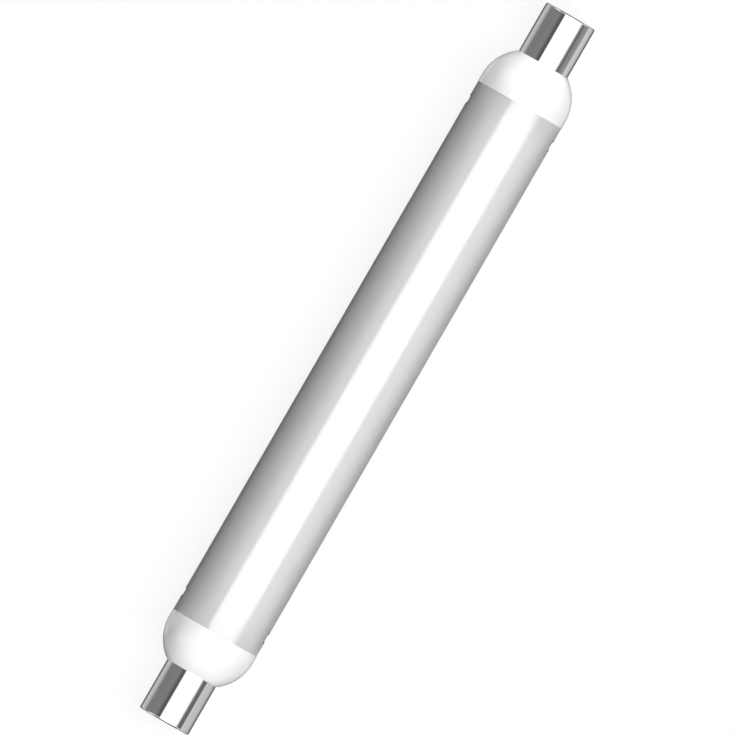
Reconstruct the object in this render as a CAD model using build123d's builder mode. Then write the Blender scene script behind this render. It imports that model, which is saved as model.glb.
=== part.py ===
from build123d import *
import os
from math import asin, atan, degrees, sqrt, tan

# Double-ended tubular LED lamp with a plain metal cap sleeve at each end.
# X runs along the lamp, Z points to the side that gives the light, and the
# origin is on the axis at the middle of the lamp. All sizes are millimetres.

os.makedirs("parts", exist_ok=True)

# Lamp, caps and domes
lamp_length = 221.0
tube_diameter = 26.0
tube_wall = 1.0
cap_diameter = 15.2
cap_length = 15.15
cap_wall = 0.3
cap_corner = 0.45
cap_fit = 0.03
cap_dish_radius = 3.4
cap_dish_depth = 0.7
cap_hole_radius = 1.2
solder_margin = 0.9
solder_crown = 0.1
shoulder_ledge = 0.2
skirt_length = 2.2
skirt_proud = 0.05
neck_wall = 1.4
neck_lead = 0.4
core_shift = 0.8

# Spigots and latches
spigot_depth = 9.0
spigot_wall = 1.1
spigot_gap = 0.1
spigot_lead = 0.4
tongue_margin = 0.7
tongue_slot = 0.8
tongue_root = 1.6
window_from_seam = 5.55
window_across = 5.0
window_length = 2.3
window_corner = 0.3
lug_gap = 0.15
lug_recess = 0.35
lug_lead = 0.25

# Carrier and its rails
carrier_top = -1.0
carrier_thickness = 1.2
carrier_edge = 0.4
carrier_side_gap = 0.35
carrier_end_gap = 0.3
rail_gap = 0.1
rail_thickness = 0.8
rail_leg_gap = 0.5
leg_thickness = 1.2
leg_height = 4.4
leg_wall_gap = 0.5
groove_depth = 0.5
wire_room = 0.45
board_slack = 0.05
lip_width = 0.6
lip_height = 0.8

# LED board
tape_thickness = 0.2
tape_margin = 0.3
led_board_width = 12.0
led_board_thickness = 1.0
led_board_corner = 0.8
led_board_setback = 0.6
led_length = 3.5
led_width = 2.8
led_height = 0.8
led_pitch = 6.0
led_cavity_wall = 0.35
led_cavity_depth = 0.5
led_cavity_draft = 20
led_end_margin = 4.0

# Driver board and what joins it to the LED board
driver_thickness = 1.0
liner_thickness = 0.2
liner_gap = 0.05
link_spacing = 6.0
pin_width = 0.64
pin_tail = 0.9
pin_fit = 0.03
pin_point = 0.12
pin_hole_gap = 0.15
header_length = 2.5
header_wall = 1.0
header_gap = 0.2

# Driver components, in their order along the board
component_spacing = 6.5
component_margin = 0.9
lead_diameter = 0.6
lead_hole_gap = 0.1
lead_bend = 1.0
lead_tail = 0.7
joint_radius = 1.0
joint_rim = 0.15
joint_height = 0.5
solder_gap = 0.03
component_gap = 0.15
wall_clearance = 0.5
fuse_length = 8.0
fuse_diameter = 3.2
fuse_span = 12.0
fuse_coat = 0.6
fuse_collar = 1.6
fuse_waist = 0.15
film_length = 11.0
film_width = 4.4
film_pitch = 7.5
film_corner = 0.3
choke_diameter = 6.0
choke_flange = 1.0
choke_edge = 0.2
choke_waist = 3.0
choke_pitch = 4.0
winding_recess = 0.3
winding_clearance = 0.05
capacitor_length = 11.5
capacitor_diameter = 5.0
capacitor_pitch = 2.0
can_corner = 0.6
can_groove = 0.4
can_groove_setback = 0.8
bung_length = 1.4
bung_lip = 0.25
rectifier_length = 4.7
rectifier_width = 3.9
rectifier_height = 1.45
rectifier_legs = 2
rectifier_pitch = 2.54
chip_length = 4.9
chip_width = 3.9
chip_height = 1.4
chip_legs = 4
chip_pitch = 1.27
leg_width = 0.42
leg_sheet = 0.2
leg_spread = 1.0
mould_draft = 6
chip_resistor_length = 3.2
chip_resistor_width = 1.6
chip_resistor_height = 0.55
chip_resistor_pitch = 2.4
chip_resistor_columns = 3

# Lead wires
wire_diameter = 1.3
core_diameter = 0.6
wire_strip = 1.6
wire_straight = 12.0
wire_bed = 20.0
wire_lift = 0.2
bend_share = 0.45
pad_inset = 2.5
pad_radius = 1.3
pad_crown = 0.6
pad_height = 1.3
pad_gap = 0.1

# Places along and around the axis that follow from those sizes
half_length = lamp_length / 2
tube_radius = tube_diameter / 2
bore_radius = tube_radius - tube_wall
cap_radius = cap_diameter / 2
neck_radius = cap_radius - cap_wall - cap_fit
neck_bore = neck_radius - neck_wall
skirt_radius = tube_radius + skirt_proud
shoulder_radius = cap_radius + shoulder_ledge
dome_centre = cap_length + sqrt(skirt_radius**2 - shoulder_radius**2)
seam_inset = dome_centre + skirt_length
spigot_radius = bore_radius - spigot_gap
spigot_bore = spigot_radius - spigot_wall
spigot_end = seam_inset + spigot_depth
core_centre = dome_centre - core_shift
window_inset = seam_inset + window_from_seam
lug_root = spigot_bore + spigot_wall / 2

carrier_bottom = carrier_top - carrier_thickness
groove_drop = liner_gap + liner_thickness + wire_room + wire_diameter + wire_lift
carrier_length = lamp_length - 2 * (spigot_end + carrier_end_gap)
leg_foot = carrier_bottom - leg_height
led_board_bottom = carrier_top + tape_thickness
led_board_top = led_board_bottom + led_board_thickness
led_board_length = carrier_length - 2 * led_board_setback
driver_top = carrier_bottom - groove_drop - board_slack
driver_bottom = driver_top - driver_thickness


def bore_half_width(height, clearance=0.0):
    """Half of the room across the tube's bore at a height, less a clearance."""
    return sqrt((bore_radius - clearance) ** 2 - height**2)


carrier_half_width = bore_half_width(carrier_bottom, carrier_side_gap)
leg_outside = bore_half_width(leg_foot, leg_wall_gap)
leg_inside = leg_outside - leg_thickness
driver_half_width = leg_inside + groove_depth - board_slack
rail_tip = leg_outside + rail_leg_gap

# Places along the driver board, each a spacing past its neighbour, first from the
# board's left end and then from the middle of the lamp.
lead_radius = lead_diameter / 2
fuse_place = pad_inset + pad_radius + component_spacing + fuse_span / 2
film_place = fuse_place + fuse_span / 2 + component_spacing + film_length / 2
choke_place = film_place + film_length / 2 + component_spacing + choke_diameter / 2
capacitor_place = choke_place + choke_diameter / 2 + component_spacing + capacitor_length / 2
capacitor_lead_place = capacitor_place + (capacitor_length + bung_length) / 2 + lead_bend + lead_radius
rectifier_place = capacitor_lead_place + lead_radius + component_spacing + rectifier_length / 2
chip_place = rectifier_place + (rectifier_length + chip_length) / 2 + component_spacing
link_place = chip_place + (chip_length + header_length) / 2 + component_spacing
driver_length = link_place + header_length / 2 + component_spacing + pad_radius + pad_inset
fuse_x = fuse_place - driver_length / 2
film_x = film_place - driver_length / 2
choke_x = choke_place - driver_length / 2
capacitor_x = capacitor_place - driver_length / 2
capacitor_lead_x = capacitor_lead_place - driver_length / 2
rectifier_x = rectifier_place - driver_length / 2
chip_x = chip_place - driver_length / 2
link_x = link_place - driver_length / 2
chip_resistor_y = leg_inside - component_margin - chip_resistor_length / 2


def end_plane(end):
    """Plane through the axis: x runs inward from that end of the lamp, y outward from the axis."""
    return Plane(origin=(end * half_length, 0, 0), x_dir=(-end, 0, 0), z_dir=(0, end, 0))


def side_plane(end, side, distance):
    """Plane on one side of a latch window, facing away from the axis, x across the lamp."""
    x = end * (half_length - window_inset)
    return Plane(origin=(x, side * distance, 0), x_dir=(0, 0, 1), z_dir=(0, side, 0))


def save(piece, name):
    """Label a finished piece and write it to its own file."""
    piece.part.label = name
    export_step(piece.part, f"parts/{name}.step")


ends = (("left", -1), ("right", 1))

# Frosted tube: a plain ring with two pairs of rails that carry the edges of the
# carrier. The rails stop short of the spigots, and the windows take their lugs.
tube_length = lamp_length - 2 * seam_inset
with BuildPart() as diffuser_tube:
    with BuildSketch(Plane.YZ.offset(-tube_length / 2)):
        Circle(tube_radius)
        Circle(bore_radius, mode=Mode.SUBTRACT)
    extrude(amount=tube_length)
    rail_tops = (carrier_top + rail_gap + rail_thickness, carrier_bottom - rail_gap)
    with BuildSketch(Plane.YZ.offset(-carrier_length / 2)):
        for rail_top in rail_tops:
            rail_bottom = rail_top - rail_thickness
            with Locations((0, (rail_top + rail_bottom) / 2)):
                Rectangle(2 * tube_radius, rail_thickness)
                Rectangle(2 * rail_tip, rail_thickness, mode=Mode.SUBTRACT)
        Circle(bore_radius + tube_wall / 2, mode=Mode.INTERSECT)
    extrude(amount=carrier_length)
    for name, end in ends:
        for side in (-1, 1):
            with BuildSketch(side_plane(end, side, 0)):
                RectangleRounded(window_across, window_length, window_corner)
            extrude(amount=skirt_radius, mode=Mode.SUBTRACT)
save(diffuser_tube, "diffuser_tube")

# End dome: one moulding with the neck that carries the cap, the round nose, the
# short skirt flush with the tube, and a spigot split into springy latch tongues.
for name, end in ends:
    with BuildPart() as end_dome:
        with BuildSketch(end_plane(end)):
            with BuildLine():
                Polyline(
                    (cap_wall, neck_bore),
                    (cap_wall, neck_radius - neck_lead),
                    (cap_wall + neck_lead, neck_radius),
                    (cap_length, neck_radius),
                    (cap_length, shoulder_radius),
                )
                nose_angle = 90 - degrees(asin(shoulder_radius / skirt_radius))
                CenterArc((dome_centre, 0), skirt_radius, 90, nose_angle)
                core_angle = 90 - degrees(asin(neck_bore / spigot_bore))
                core = CenterArc((core_centre, 0), spigot_bore, 90, core_angle)
                Polyline(
                    (dome_centre, skirt_radius),
                    (seam_inset, skirt_radius),
                    (seam_inset, spigot_radius),
                    (spigot_end - spigot_lead, spigot_radius),
                    (spigot_end, spigot_radius - spigot_lead),
                    (spigot_end, spigot_bore),
                    (core_centre, spigot_bore),
                )
                Line(core @ 1, (cap_wall, neck_bore))
            make_face()
        revolve(axis=Axis.X)
        spigot_face = Plane(
            origin=(end * (half_length - spigot_end), 0, 0), x_dir=(0, 1, 0), z_dir=(end, 0, 0)
        )
        with BuildSketch(spigot_face):
            with GridLocations(0, window_across + 2 * tongue_margin + tongue_slot, 1, 2):
                Rectangle(2 * skirt_radius, tongue_slot)
        extrude(amount=spigot_depth - tongue_root, mode=Mode.SUBTRACT)
        for side in (-1, 1):
            with BuildSketch(side_plane(end, side, lug_root)):
                Rectangle(window_across - 2 * lug_gap, window_length - 2 * lug_gap)
            extrude(amount=tube_radius - lug_recess - lug_root)
        lug_faces = end_dome.faces().sort_by(Axis.Y)
        chamfer((lug_faces[0].edges() + lug_faces[-1].edges()), lug_lead)
    save(end_dome, f"end_dome_{name}")

# Cap: a drawn sleeve with a closed end, dished round the hole for the lead.
cone_slope = cap_dish_depth / (cap_dish_radius - cap_hole_radius)
for name, end in ends:
    with BuildPart() as cap_shell:
        with BuildSketch(end_plane(end)):
            with BuildLine():
                outside = FilletPolyline(
                    (cap_length, cap_radius),
                    (0, cap_radius),
                    (0, cap_dish_radius),
                    (cap_dish_depth, cap_hole_radius),
                    radius=(cap_corner, cap_wall),
                )
                inside = Polyline(
                    (cap_length, cap_radius - cap_wall),
                    (cap_wall, cap_radius - cap_wall),
                    (cap_wall, cap_dish_radius),
                    (cap_dish_depth + cap_wall, cap_hole_radius),
                )
                Line(outside @ 0, inside @ 0)
                Line(outside @ 1, inside @ 1)
            make_face()
        revolve(axis=Axis.X)
    save(cap_shell, f"cap_shell_{name}")

# Solder in the dish of each cap, through its hole and just behind it.
throat = cap_hole_radius - solder_gap
head_radius = cap_dish_radius - solder_margin
head_edge = cone_slope * solder_margin - solder_gap
crown_rise = head_edge - solder_crown
crown_radius = (head_radius**2 + crown_rise**2) / (2 * crown_rise)
solder_back = cap_dish_depth + cap_wall + solder_gap
for name, end in ends:
    with BuildPart() as cap_solder:
        with BuildSketch(end_plane(end)):
            with BuildLine():
                RadiusArc((solder_crown, 0), (head_edge, head_radius), -crown_radius)
                Polyline(
                    (head_edge, head_radius),
                    (cap_dish_depth - solder_gap, throat),
                    (solder_back, throat),
                    (solder_back, 0),
                    (solder_crown, 0),
                )
            make_face()
        revolve(axis=Axis.X)
    save(cap_solder, f"cap_solder_{name}")

# Carrier: an aluminium extrusion with a plate between the rails, two lips that
# place the LED board, and two legs grooved for the driver board.
header_width = link_spacing + pin_width + 2 * header_wall
slot_length = header_length + 2 * header_gap
slot_width = header_width + 2 * header_gap
with BuildPart() as heat_sink:
    with BuildSketch(Plane.YZ.offset(-carrier_length / 2)):
        with Locations((0, (carrier_top + carrier_bottom) / 2)):
            RectangleRounded(2 * carrier_half_width, carrier_thickness, carrier_edge)
        with Locations((0, leg_foot)):
            with GridLocations(leg_inside + leg_outside, 0, 2, 1):
                Rectangle(leg_thickness, leg_height + carrier_thickness / 2, align=(Align.CENTER, Align.MIN))
        with Locations((0, carrier_top)):
            with GridLocations(led_board_width + 2 * rail_gap + lip_width, 0, 2, 1):
                Rectangle(lip_width, lip_height, align=(Align.CENTER, Align.MIN))
        with Locations((0, driver_top - driver_thickness / 2)):
            Rectangle(2 * (leg_inside + groove_depth), driver_thickness + 2 * board_slack, mode=Mode.SUBTRACT)
    extrude(amount=carrier_length)
    with BuildSketch(Plane.XY.offset(carrier_bottom)):
        with Locations((link_x, 0)):
            Rectangle(slot_length, slot_width)
    extrude(amount=carrier_thickness, mode=Mode.SUBTRACT)
save(heat_sink, "heat_sink")

# Thermal tape between the carrier and the LED board.
with BuildPart() as thermal_tape:
    with BuildSketch(Plane.XY.offset(carrier_top)):
        Rectangle(led_board_length - 2 * tape_margin, led_board_width - 2 * tape_margin)
        with Locations((link_x, 0)):
            Rectangle(slot_length, slot_width, mode=Mode.SUBTRACT)
    extrude(amount=tape_thickness)
save(thermal_tape, "thermal_tape")

# LED board with two holes for the pins that feed it.
pin_hole_radius = pin_width / sqrt(2) + pin_hole_gap
with BuildPart() as led_board:
    with BuildSketch(Plane.XY.offset(led_board_bottom)):
        RectangleRounded(led_board_length, led_board_width, led_board_corner)
        with Locations((link_x, 0)):
            with GridLocations(0, link_spacing, 1, 2):
                Circle(pin_hole_radius, mode=Mode.SUBTRACT)
    extrude(amount=led_board_thickness)
save(led_board, "led_board")

# LED packages in one row: white frames, each with a sloped cup, and the
# phosphor that fills the cups.
led_count = int((led_board_length - 2 * led_end_margin) / led_pitch) + 1
cup_length = led_length - 2 * led_cavity_wall
cup_width = led_width - 2 * led_cavity_wall
with BuildPart() as led_bodies:
    with BuildSketch(Plane.XY.offset(led_board_top)):
        with GridLocations(led_pitch, 0, led_count, 1):
            Rectangle(led_length, led_width)
    extrude(amount=led_height)
    with BuildSketch(Plane.XY.offset(led_board_top + led_height)):
        with GridLocations(led_pitch, 0, led_count, 1):
            Rectangle(cup_length, cup_width)
    extrude(amount=-led_cavity_depth, taper=led_cavity_draft, mode=Mode.SUBTRACT)
save(led_bodies, "led_bodies")

with BuildPart() as led_phosphors:
    with BuildSketch(Plane.XY.offset(led_board_top + led_height)):
        with GridLocations(led_pitch, 0, led_count, 1):
            Rectangle(cup_length, cup_width)
    extrude(amount=-led_cavity_depth, taper=led_cavity_draft)
save(led_phosphors, "led_phosphors")

# Insulating film, folded to line the plate and the legs above the driver board.
liner_top = carrier_bottom - liner_gap
liner_half = leg_inside - liner_gap
liner_length = driver_length + 2 * header_length
with BuildPart() as insulating_liner:
    with BuildSketch(Plane.YZ.offset(-liner_length / 2)):
        with Locations((0, liner_top)):
            Rectangle(2 * liner_half, liner_top - driver_top, align=(Align.CENTER, Align.MAX))
        with Locations((0, liner_top - liner_thickness)):
            Rectangle(
                2 * (liner_half - liner_thickness),
                groove_drop,
                align=(Align.CENTER, Align.MAX),
                mode=Mode.SUBTRACT,
            )
    extrude(amount=liner_length)
    with BuildSketch(Plane.XY.offset(carrier_bottom)):
        with Locations((link_x, 0)):
            Rectangle(slot_length, slot_width)
    extrude(amount=-groove_drop, mode=Mode.SUBTRACT)
save(insulating_liner, "insulating_liner")

# Where each component's two leads pass through the driver board: the middle of
# the pair, then its spacing along and across the board.
lead_places = (
    (fuse_x, fuse_span, 0),
    (film_x, film_pitch, 0),
    (choke_x, choke_pitch, 0),
    (capacitor_lead_x, 0, capacitor_pitch),
)

# Driver board, sliding in the grooves of the legs.
with BuildPart() as driver_board:
    with BuildSketch(Plane.XY.offset(driver_bottom)):
        Rectangle(driver_length, 2 * driver_half_width)
        for centre, columns, rows in lead_places:
            with Locations((centre, 0)):
                with GridLocations(columns, rows, 2 if columns else 1, 2 if rows else 1):
                    Circle(lead_radius + lead_hole_gap, mode=Mode.SUBTRACT)
        with Locations((link_x, 0)):
            with GridLocations(0, link_spacing, 1, 2):
                Circle(pin_hole_radius, mode=Mode.SUBTRACT)
    extrude(amount=driver_thickness)
save(driver_board, "driver_board")

# Feed from the driver board to the LED board: two pins in one insulator.
pin_bottom = driver_bottom - pin_tail
pin_top = led_board_top + pin_tail
with BuildPart() as link_header:
    with BuildSketch(Plane.XY.offset(driver_top)):
        with Locations((link_x, 0)):
            Rectangle(header_length, header_width)
            with GridLocations(0, link_spacing, 1, 2):
                Rectangle(pin_width + 2 * pin_fit, pin_width + 2 * pin_fit, mode=Mode.SUBTRACT)
    extrude(amount=led_board_bottom - driver_top)
save(link_header, "link_header")

with BuildPart() as link_pins:
    with BuildSketch(Plane.XY.offset(pin_bottom)):
        with Locations((link_x, 0)):
            with GridLocations(0, link_spacing, 1, 2):
                Rectangle(pin_width, pin_width)
    extrude(amount=pin_top - pin_bottom)
    chamfer(link_pins.faces().filter_by(Axis.Z).edges(), pin_point)
save(link_pins, "link_pins")

# Fusible resistor: a coated body with a raised collar at each end, lying under
# the driver board.
fuse_axis = driver_bottom - component_gap - fuse_diameter / 2
with BuildPart() as fuse_resistor:
    with BuildSketch(Plane(origin=(fuse_x, 0, fuse_axis), x_dir=(1, 0, 0), z_dir=(0, -1, 0))):
        with BuildLine():
            half = fuse_length / 2
            waist = fuse_diameter / 2 - fuse_waist
            Polyline(
                (-half, 0),
                (-half, fuse_diameter / 2 - fuse_coat),
                (-half + fuse_coat, fuse_diameter / 2),
                (-half + fuse_collar, fuse_diameter / 2),
                (-half + fuse_collar + fuse_waist, waist),
                (half - fuse_collar - fuse_waist, waist),
                (half - fuse_collar, fuse_diameter / 2),
                (half - fuse_coat, fuse_diameter / 2),
                (half, fuse_diameter / 2 - fuse_coat),
                (half, 0),
                close=True,
            )
        make_face()
    revolve(axis=Axis((0, 0, fuse_axis), (1, 0, 0)))
save(fuse_resistor, "fuse_resistor")

# Film capacitor: a moulded box hanging from the board, as tall as the bore lets it be.
film_top = driver_bottom - component_gap
film_height = film_top + bore_half_width(film_width / 2, wall_clearance)
with BuildPart() as film_capacitor:
    with BuildSketch(Plane.XY.offset(film_top)):
        with Locations((film_x, 0)):
            Rectangle(film_length, film_width)
    extrude(amount=-film_height)
    fillet(film_capacitor.edges().filter_by(Axis.Z), film_corner)
    fillet(film_capacitor.faces().sort_by(Axis.Z)[0].edges(), film_corner)
save(film_capacitor, "film_capacitor")

# Choke: a ferrite drum that stands on the board, wound in its groove.
choke_top = driver_bottom - component_gap
choke_height = choke_top + bore_half_width(choke_diameter / 2, wall_clearance)
groove_height = choke_height - 2 * choke_flange
with BuildPart() as choke_core:
    with Locations((choke_x, 0, choke_top)):
        Cylinder(choke_diameter / 2, choke_height, align=(Align.CENTER, Align.CENTER, Align.MAX))
    chamfer(choke_core.edges().filter_by(GeomType.CIRCLE), choke_edge)
    with BuildSketch(Plane.XY.offset(choke_top - choke_flange)):
        with Locations((choke_x, 0)):
            Circle(choke_diameter)
            Circle(choke_waist / 2, mode=Mode.SUBTRACT)
    extrude(amount=-groove_height, mode=Mode.SUBTRACT)
save(choke_core, "choke_core")

with BuildPart() as choke_winding:
    with BuildSketch(Plane.XY.offset(choke_top - choke_flange - winding_clearance)):
        with Locations((choke_x, 0)):
            Circle(choke_diameter / 2 - winding_recess)
            Circle(choke_waist / 2 + winding_clearance, mode=Mode.SUBTRACT)
    extrude(amount=-(groove_height - 2 * winding_clearance))
save(choke_winding, "choke_winding")

# Electrolytic capacitor lying under the board: a can with a rolled groove, and
# the rubber bung in its mouth.
can_radius = capacitor_diameter / 2
can_axis = driver_bottom - component_gap - can_radius
can_mouth = capacitor_x + capacitor_length / 2
bung_seat = can_mouth - bung_length / 2
can_middle = Plane(origin=(0, 0, can_axis), x_dir=(1, 0, 0), z_dir=(0, -1, 0))
with BuildPart() as capacitor_can:
    with BuildSketch(can_middle):
        with BuildLine():
            FilletPolyline(
                (bung_seat, 0),
                (capacitor_x - capacitor_length / 2, 0),
                (capacitor_x - capacitor_length / 2, can_radius),
                (can_mouth, can_radius),
                (can_mouth, can_radius - bung_lip),
                (bung_seat, can_radius - bung_lip),
                radius=(0, can_corner, 0, 0),
            )
            Line((bung_seat, can_radius - bung_lip), (bung_seat, 0))
        make_face()
        with Locations((bung_seat - can_groove_setback, can_radius + can_groove / 2)):
            Circle(can_groove, mode=Mode.SUBTRACT)
    revolve(axis=Axis((0, 0, can_axis), (1, 0, 0)))
save(capacitor_can, "capacitor_can")

with BuildPart() as capacitor_bung:
    with BuildSketch(Plane.YZ.offset(bung_seat)):
        with Locations((0, can_axis)):
            Circle(can_radius - bung_lip - solder_gap)
    extrude(amount=bung_length)
save(capacitor_bung, "capacitor_bung")

# Surface-mounted packages under the board: a drafted body with bent legs.
rectifier_size = (rectifier_length, rectifier_width, rectifier_height)
chip_size = (chip_length, chip_width, chip_height)
packages = (
    ("bridge_rectifier", rectifier_x, rectifier_size, rectifier_legs, rectifier_pitch),
    ("driver_chip", chip_x, chip_size, chip_legs, chip_pitch),
)
for name, centre, size, leg_count, pitch in packages:
    length, width, height = size
    middle = driver_bottom - component_gap - height / 2
    knee = width / 2 + leg_spread / 2
    with BuildPart() as package:
        for direction in (-1, 1):
            with BuildSketch(Plane.XY.offset(middle)):
                with Locations((centre, 0)):
                    Rectangle(length, width)
            extrude(amount=direction * height / 2, taper=mould_draft)
        for index in range(leg_count):
            leg_x = centre + (index - (leg_count - 1) / 2) * pitch
            with BuildSketch(Plane.YZ.offset(leg_x)):
                with BuildLine():
                    Polyline(
                        (width / 2 - leg_sheet, middle),
                        (knee, middle),
                        (knee, driver_bottom - leg_sheet / 2),
                        (width / 2 + leg_spread, driver_bottom - leg_sheet / 2),
                    )
                trace(line_width=leg_sheet)
                mirror(about=Plane.YZ)
            extrude(amount=leg_width / 2, both=True)
    save(package, name)

# Chip resistors in two short rows beside the packages.
with BuildPart() as chip_resistors:
    with BuildSketch(Plane.XY.offset(driver_bottom)):
        with Locations(((rectifier_x + chip_x) / 2, 0)):
            with GridLocations(chip_resistor_pitch, 2 * chip_resistor_y, chip_resistor_columns, 2):
                Rectangle(chip_resistor_width, chip_resistor_length)
    extrude(amount=-chip_resistor_height)
save(chip_resistors, "chip_resistors")

# Leads of the through-hole components, up through the board.
lead_top = driver_top + lead_tail
with BuildPart() as component_leads:
    for side in (-1, 1):
        with BuildLine(Plane(origin=(fuse_x, 0, 0), x_dir=(side, 0, 0), z_dir=(0, -side, 0))) as path:
            FilletPolyline(
                (fuse_length / 2, fuse_axis),
                (fuse_span / 2, fuse_axis),
                (fuse_span / 2, lead_top),
                radius=lead_bend,
            )
        with BuildSketch(Plane(origin=path.line @ 0, z_dir=path.line % 0)):
            Circle(lead_radius)
        sweep()
        with BuildLine(Plane.XZ.offset(side * capacitor_pitch / 2)) as path:
            FilletPolyline(
                (bung_seat + bung_length, can_axis),
                (capacitor_lead_x, can_axis),
                (capacitor_lead_x, lead_top),
                radius=lead_bend,
            )
        with BuildSketch(Plane(origin=path.line @ 0, z_dir=path.line % 0)):
            Circle(lead_radius)
        sweep()
    for centre, span, top in ((film_x, film_pitch, film_top), (choke_x, choke_pitch, choke_top)):
        with BuildSketch(Plane.XY.offset(top)):
            with Locations((centre, 0)):
                with GridLocations(span, 0, 2, 1):
                    Circle(lead_radius)
        extrude(amount=lead_top - top)
save(component_leads, "component_leads")

# Solder joints of those leads on the board's upper side.
with BuildPart() as board_solder:
    for centre, columns, rows in lead_places:
        with Locations((centre, 0, driver_top)):
            with GridLocations(columns, rows, 2 if columns else 1, 2 if rows else 1):
                Cone(
                    joint_radius,
                    lead_radius + joint_rim,
                    joint_height,
                    align=(Align.CENTER, Align.CENTER, Align.MIN),
                )
    for centre, columns, rows in lead_places:
        with Locations((centre, 0, driver_top)):
            with GridLocations(columns, rows, 2 if columns else 1, 2 if rows else 1):
                Cylinder(lead_radius + solder_gap, 2 * lead_tail, mode=Mode.SUBTRACT)
save(board_solder, "board_solder")

# Lead wires: from the solder of each cap along the axis, then down in a gentle
# curve to a pad on the upper side of the driver board.
wire_height = driver_top + wire_lift + wire_diameter / 2
pad_place = half_length - driver_length / 2 + pad_inset
core_end = pad_place + core_diameter
insulation_start = solder_back + wire_strip
insulation_end = pad_place - pad_radius - pad_gap
bed_start = insulation_end - wire_bed
wire_fall = bed_start - wire_straight
turn = atan(-wire_height / wire_fall)
upper_radius = bend_share * min(wire_fall, wire_straight - insulation_start) / tan(turn / 2)
lower_radius = bend_share * min(wire_fall, wire_bed) / tan(turn / 2)
print(f"lead wire bend radii: {upper_radius:.1f} and {lower_radius:.1f} mm")
for name, end in ends:
    with BuildPart() as lead_wire:
        stretches = (
            (solder_back, core_end, core_diameter),
            (insulation_start, insulation_end, wire_diameter),
        )
        for start, finish, diameter in stretches:
            with BuildLine(end_plane(end)) as path:
                FilletPolyline(
                    (start, 0),
                    (wire_straight, 0),
                    (bed_start, wire_height),
                    (finish, wire_height),
                    radius=(upper_radius, lower_radius),
                )
            with BuildSketch(Plane(origin=path.line @ 0, z_dir=path.line % 0)):
                Circle(diameter / 2)
            sweep()
    save(lead_wire, f"lead_wire_{name}")

# Solder of those wires on the driver board.
with BuildPart() as lead_solder:
    for name, end in ends:
        with Locations((end * (half_length - pad_place), 0, driver_top)):
            Cone(
                pad_radius,
                pad_crown,
                pad_height,
                align=(Align.CENTER, Align.CENTER, Align.MIN),
            )
        with BuildSketch(Plane.YZ.offset(end * (half_length - pad_place + 2 * pad_radius))):
            with Locations((0, wire_height)):
                Circle(core_diameter / 2 + solder_gap)
        extrude(amount=-end * (2 * pad_radius + core_diameter + solder_gap), mode=Mode.SUBTRACT)
save(lead_solder, "lead_solder")
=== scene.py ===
"""Finish, lights and camera for a double-ended tubular light bulb, laid out as a Blender add-on.

Everything is in metres in the lamp's own frame: X along the lamp, +Z the side that gives light,
Y across through the latch windows, the origin in the middle of the lamp on its axis.
"""

import math

import bpy
from bpy.props import FloatProperty, FloatVectorProperty, PointerProperty
from bpy.types import NodeSocket, Operator, Panel, PropertyGroup
from mathutils import Matrix, Vector


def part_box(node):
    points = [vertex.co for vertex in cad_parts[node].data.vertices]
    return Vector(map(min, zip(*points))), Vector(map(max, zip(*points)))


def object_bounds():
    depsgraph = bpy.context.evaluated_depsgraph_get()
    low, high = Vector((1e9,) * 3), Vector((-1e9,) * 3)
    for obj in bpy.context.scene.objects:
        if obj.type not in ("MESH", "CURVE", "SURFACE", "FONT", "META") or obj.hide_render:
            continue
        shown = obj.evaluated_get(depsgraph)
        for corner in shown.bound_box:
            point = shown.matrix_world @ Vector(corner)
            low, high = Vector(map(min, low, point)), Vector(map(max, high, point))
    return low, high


bl_info = {
    "name": "Tubular light bulb",
    "version": (1, 0, 0),
    "blender": (4, 5, 0),
    "location": "3D View > Sidebar > Lamp",
    "description": "Finishes a double-ended tubular lamp and sets it in a small white studio",
    "category": "Object",
}

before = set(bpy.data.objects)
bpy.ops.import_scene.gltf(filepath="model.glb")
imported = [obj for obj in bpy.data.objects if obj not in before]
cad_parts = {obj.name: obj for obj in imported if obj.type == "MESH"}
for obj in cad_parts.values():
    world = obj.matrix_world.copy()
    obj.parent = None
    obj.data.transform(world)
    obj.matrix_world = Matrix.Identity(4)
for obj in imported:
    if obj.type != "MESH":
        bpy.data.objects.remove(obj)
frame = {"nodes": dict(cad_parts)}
CAD_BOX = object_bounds()
NODES = frame["nodes"]

LAMP_CENTRE = (CAD_BOX[0] + CAD_BOX[1]) / 2
FLOOR_HEIGHT = CAD_BOX[0].z


# Settings that a user would change

def colour_setting(name, description, default):
    """A colour that a user picks."""
    return FloatVectorProperty(
        name=name, description=description, default=default,
        subtype="COLOR", size=3, min=0.0, max=1.0,
    )


def share_setting(name, description, default):
    """A tone, a roughness or another share from nothing to one."""
    return FloatProperty(
        name=name, description=description, default=default,
        subtype="FACTOR", min=0.0, max=1.0,
    )


def length_setting(name, description, default):
    """A length in metres."""
    return FloatProperty(
        name=name, description=description, default=default,
        subtype="DISTANCE", unit="LENGTH", min=0.0, precision=5,
    )


def angle_setting(name, description, degrees):
    """An angle, with its default given in degrees."""
    return FloatProperty(
        name=name, description=description, default=math.radians(degrees),
        subtype="ANGLE", unit="ROTATION",
    )


def light_setting(name, description, default):
    """The brightness of a panel, a card or the world; plain white is one."""
    return FloatProperty(name=name, description=description, default=default, min=0.0)


class TubeSettings(PropertyGroup):
    """Looks of the frosted tube."""

    colour: colour_setting("Tube colour", "Light grey of the frosted tube", (0.57, 0.57, 0.57))
    satin: share_setting("Satin", "Roughness under the polished skin of the tube", 0.85)
    skin: share_setting("Skin", "Roughness of the polished skin that the extruder leaves", 0.10)
    line: length_setting("Line spacing", "Spacing of the faint lines that the die leaves", 0.0009)
    relief: length_setting("Line depth", "How deep those lines are", 0.000004)
    # The gap shade is a painted shade: the tube goes darker up to each latch window, for the shadow
    # in the gap
    gap_shade: share_setting("Gap shade", "Tone of the dust in the gap round each latch", 0.20)


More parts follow.
